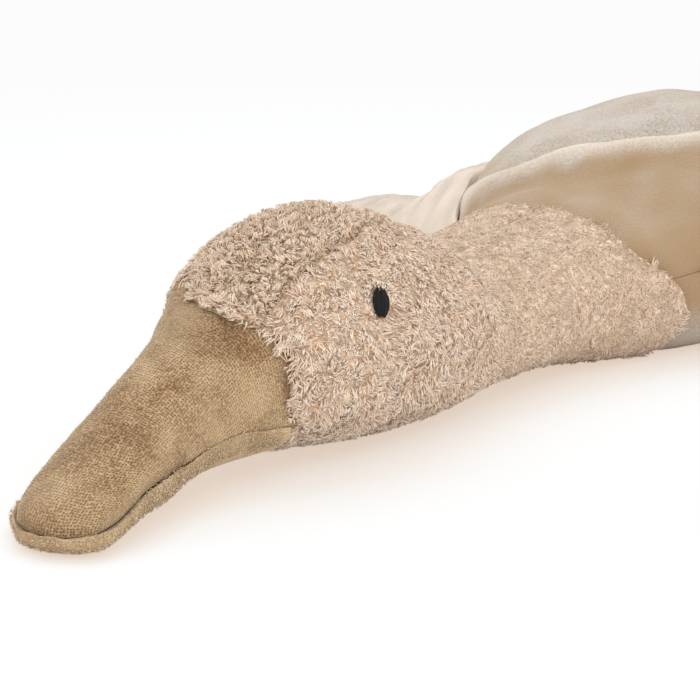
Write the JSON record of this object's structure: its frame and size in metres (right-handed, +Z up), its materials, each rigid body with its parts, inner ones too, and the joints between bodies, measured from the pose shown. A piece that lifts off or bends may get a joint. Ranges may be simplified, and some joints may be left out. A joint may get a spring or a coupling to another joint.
{
  "type": "plush goose",
  "caption": "Plush goose lying on its belly, neck stretched out, wings spread on the floor, with a tan velour bill and webbed feet.",
  "frame": {"origin": "centre of the flat patch of belly that rests on the floor", "axes": "+X from the bill to the tail, +Y to the goose's right, +Z up"},
  "size_m": [0.5775, 0.49, 0.0878],
  "materials": {
    "plush": "long curly pile, oat beige",
    "velour": "short pile, sand beige",
    "bill_velour": "short pile on a knit, tan",
    "foot_velour": "short pile on a knit, tan",
    "eye_thread": "black satin stitch",
    "stuffing": "white polyester fibre"
  },
  "bodies": {
    "root": {"bill_upper": "bill_velour", "bill_lower": "bill_velour", "bill_filling": "stuffing", "crown_gusset": "plush", "head_neck_left": "plush", "head_neck_right": "plush", "head_neck_filling": "stuffing", "eye_left": "eye_thread", "eye_right": "eye_thread", "body_back": "velour", "body_belly": "velour", "body_filling": "stuffing", "wing_left_top": "velour", "wing_left_under": "velour", "wing_left_filling": "stuffing", "wing_right_top": "velour", "wing_right_under": "velour", "wing_right_filling": "stuffing", "foot_left_top": "foot_velour", "foot_left_under": "foot_velour", "foot_left_filling": "stuffing", "foot_right_top": "foot_velour", "foot_right_under": "foot_velour", "foot_right_filling": "stuffing"}
  },
  "joints": []
}
